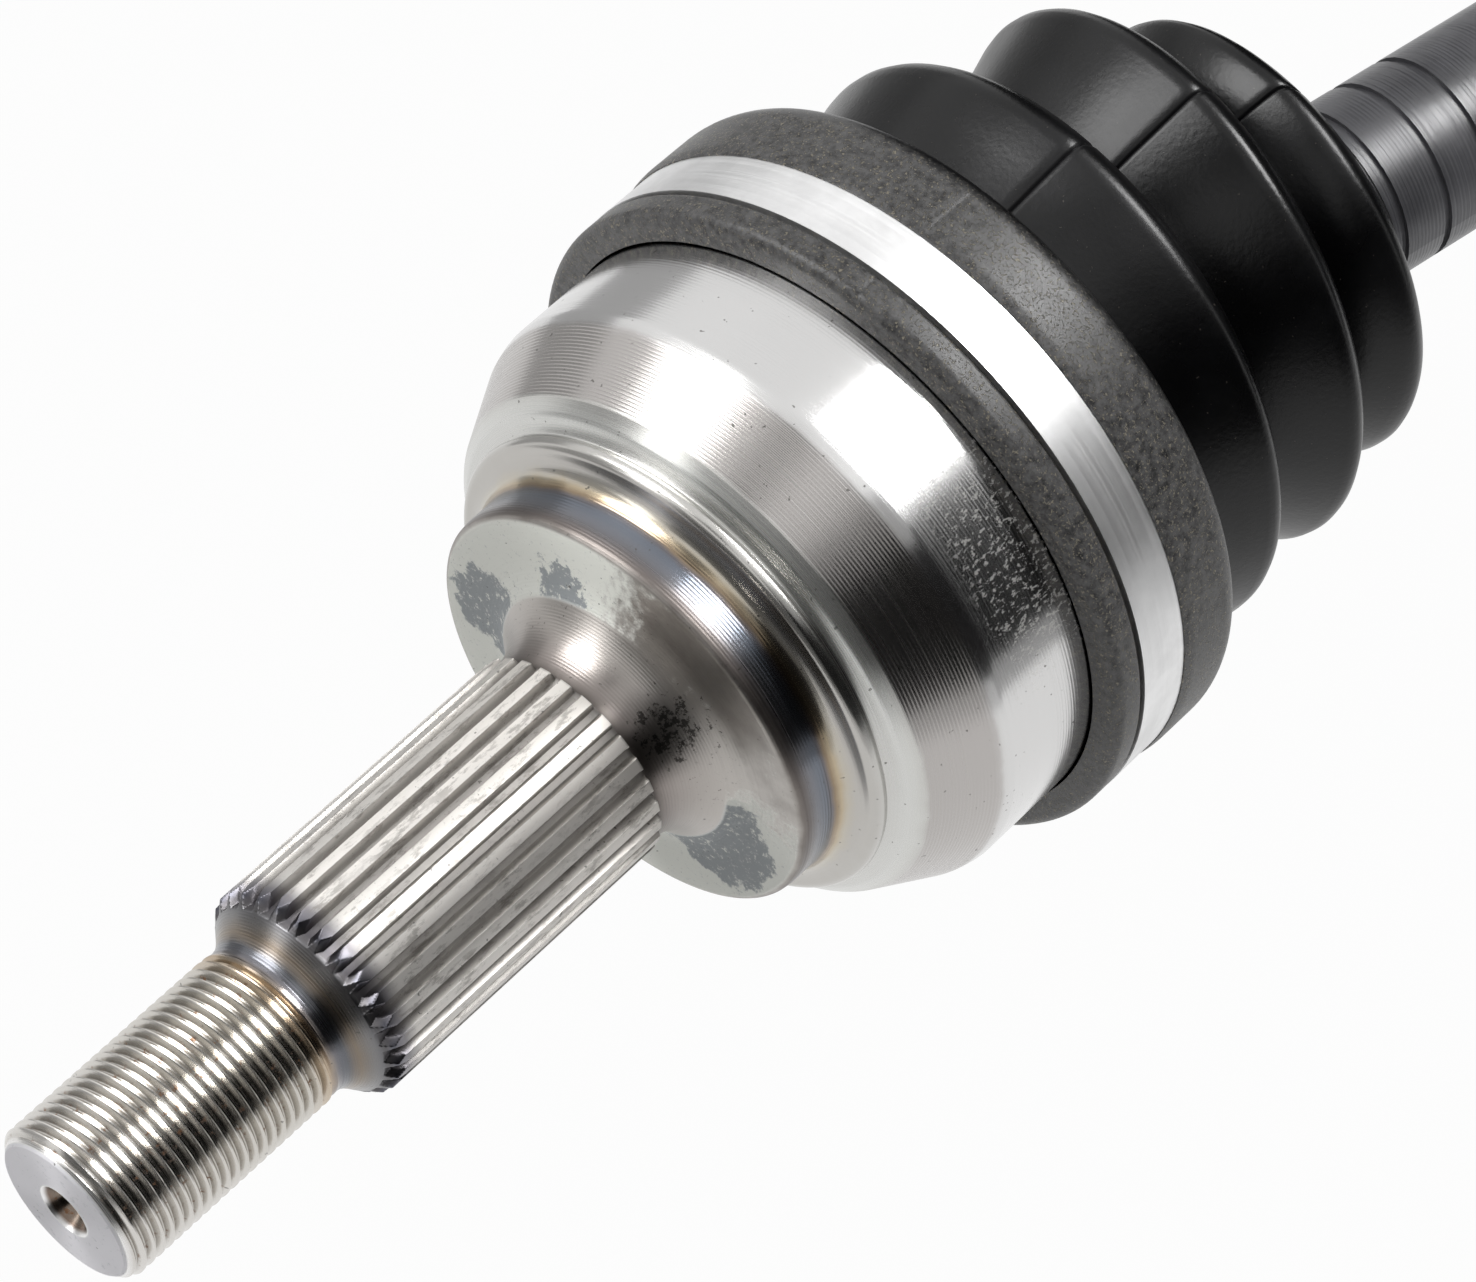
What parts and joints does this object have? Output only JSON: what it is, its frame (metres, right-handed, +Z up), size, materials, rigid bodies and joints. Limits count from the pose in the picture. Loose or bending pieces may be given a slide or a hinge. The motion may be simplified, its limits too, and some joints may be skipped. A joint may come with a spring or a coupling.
{
  "type": "drive shaft",
  "caption": "Front-wheel drive shaft: splined and threaded hub stub, ball joint under a bellows boot, black bar, and a sliding tripod joint with its own boot and splined gearbox stub.",
  "frame": {"origin": "on the hub stub's axis, in the plane of its bearing shoulder", "axes": "+Y along the stub from its thread to the joint, +Z up and along the hinge axes, and the bar turned 10.6 degrees from +Y towards +X"},
  "size_m": [0.1734, 0.6678, 0.0979],
  "materials": {
    "machined_steel": "fine turned, bright, with heat tint at the land and at the thread neck",
    "cage_steel": "hardened, greased",
    "race_steel": "hardened, greased",
    "housing_steel": "turned and part forged",
    "bar_paint": "satin black over fine turned rings",
    "boot_rubber": "satin, dusty at the collar",
    "adapter_plastic": "matte",
    "clamp_steel": "satin stainless",
    "spring_steel": "oiled spring steel",
    "bearing_steel": "polished"
  },
  "bodies": {
    "outer_joint": {"outer_race": "machined_steel", "outer_large_clamp": "clamp_steel", "outer_boot": "boot_rubber"},
    "cage": {"outer_cage": "cage_steel", "ball_2": "bearing_steel", "ball_5": "bearing_steel"},
    "ball_1": {"ball_1": "bearing_steel"},
    "ball_3": {"ball_3": "bearing_steel"},
    "ball_4": {"ball_4": "bearing_steel"},
    "ball_6": {"ball_6": "bearing_steel"},
    "bar": {"bar": "bar_paint", "outer_inner_race": "race_steel", "race_clip": "spring_steel", "outer_small_clamp": "clamp_steel", "inner_small_clamp": "clamp_steel", "spider": "race_steel", "spider_clip": "spring_steel", "trunnion_clip_1": "spring_steel", "trunnion_clip_2": "spring_steel", "trunnion_clip_3": "spring_steel"},
    "roller_1": {"roller_1": "bearing_steel", "needles_1": "bearing_steel"},
    "inner_housing": {"inner_housing": "housing_steel", "boot_adapter": "adapter_plastic", "stub_clip": "spring_steel", "inner_boot": "boot_rubber", "inner_large_clamp": "clamp_steel"},
    "roller_2": {"roller_2": "bearing_steel", "needles_2": "bearing_steel"},
    "roller_3": {"roller_3": "bearing_steel", "needles_3": "bearing_steel"}
  },
  "joints": [
    {"name": "outer_articulation", "type": "hinge", "parent": "outer_joint", "child": "bar", "pos_m": [0, 0.045, 0], "axis": [0, 0, 1], "range_deg": [-31.4, 52.6], "deforming": ["outer_boot"]},
    {"name": "cage_steering", "type": "hinge", "parent": "outer_joint", "child": "cage", "pos_m": [0, 0.045, 0], "axis": [0, 0, 1], "range_deg": [-15.7, 26.3]},
    {"name": "ball_1_track", "type": "slide", "parent": "cage", "child": "ball_1", "axis": [0.8623, -0.08, 0.5], "range_m": [-0.00083, 0.00139]},
    {"name": "ball_3_track", "type": "slide", "parent": "cage", "child": "ball_3", "axis": [-0.8623, 0.08, 0.5], "range_m": [-0.00139, 0.00083]},
    {"name": "ball_4_track", "type": "slide", "parent": "cage", "child": "ball_4", "axis": [-0.8623, 0.08, -0.5], "range_m": [-0.00139, 0.00083]},
    {"name": "ball_6_track", "type": "slide", "parent": "cage", "child": "ball_6", "axis": [0.8623, -0.08, -0.5], "range_m": [-0.00083, 0.00139]},
    {"name": "inner_articulation", "type": "hinge", "parent": "bar", "child": "roller_1", "pos_m": [0.0791, 0.46766, 0], "axis": [0, 0, 1], "range_deg": [-15, 15], "deforming": ["inner_boot"]},
    {"name": "inner_plunge", "type": "slide", "parent": "roller_1", "child": "inner_housing", "axis": [0.184, 0.9829, 0], "range_m": [-0.016, 0.016], "deforming": ["inner_boot"]},
    {"name": "roller_2_spin", "type": "hinge", "parent": "bar", "child": "roller_2", "pos_m": [0.0791, 0.46766, 0], "axis": [0.8512, -0.1593, -0.5], "range_deg": [-60, 60]},
    {"name": "roller_3_spin", "type": "hinge", "parent": "bar", "child": "roller_3", "pos_m": [0.0791, 0.46766, 0], "axis": [-0.8512, 0.1593, -0.5], "range_deg": [-60, 60]}
  ],
  "couplings": [
    {"joint": "cage_steering", "follows": "outer_articulation", "ratio": 0.5},
    {"joint": "ball_1_track", "follows": "outer_articulation", "m_per_rad": 0.0015155},
    {"joint": "ball_3_track", "follows": "outer_articulation", "m_per_rad": -0.0015155},
    {"joint": "ball_4_track", "follows": "outer_articulation", "m_per_rad": -0.0015155},
    {"joint": "ball_6_track", "follows": "outer_articulation", "m_per_rad": 0.0015155},
    {"joint": "roller_2_spin", "follows": "inner_plunge", "rad_per_m": 60.606},
    {"joint": "roller_3_spin", "follows": "inner_plunge", "rad_per_m": 60.606}
  ]
}
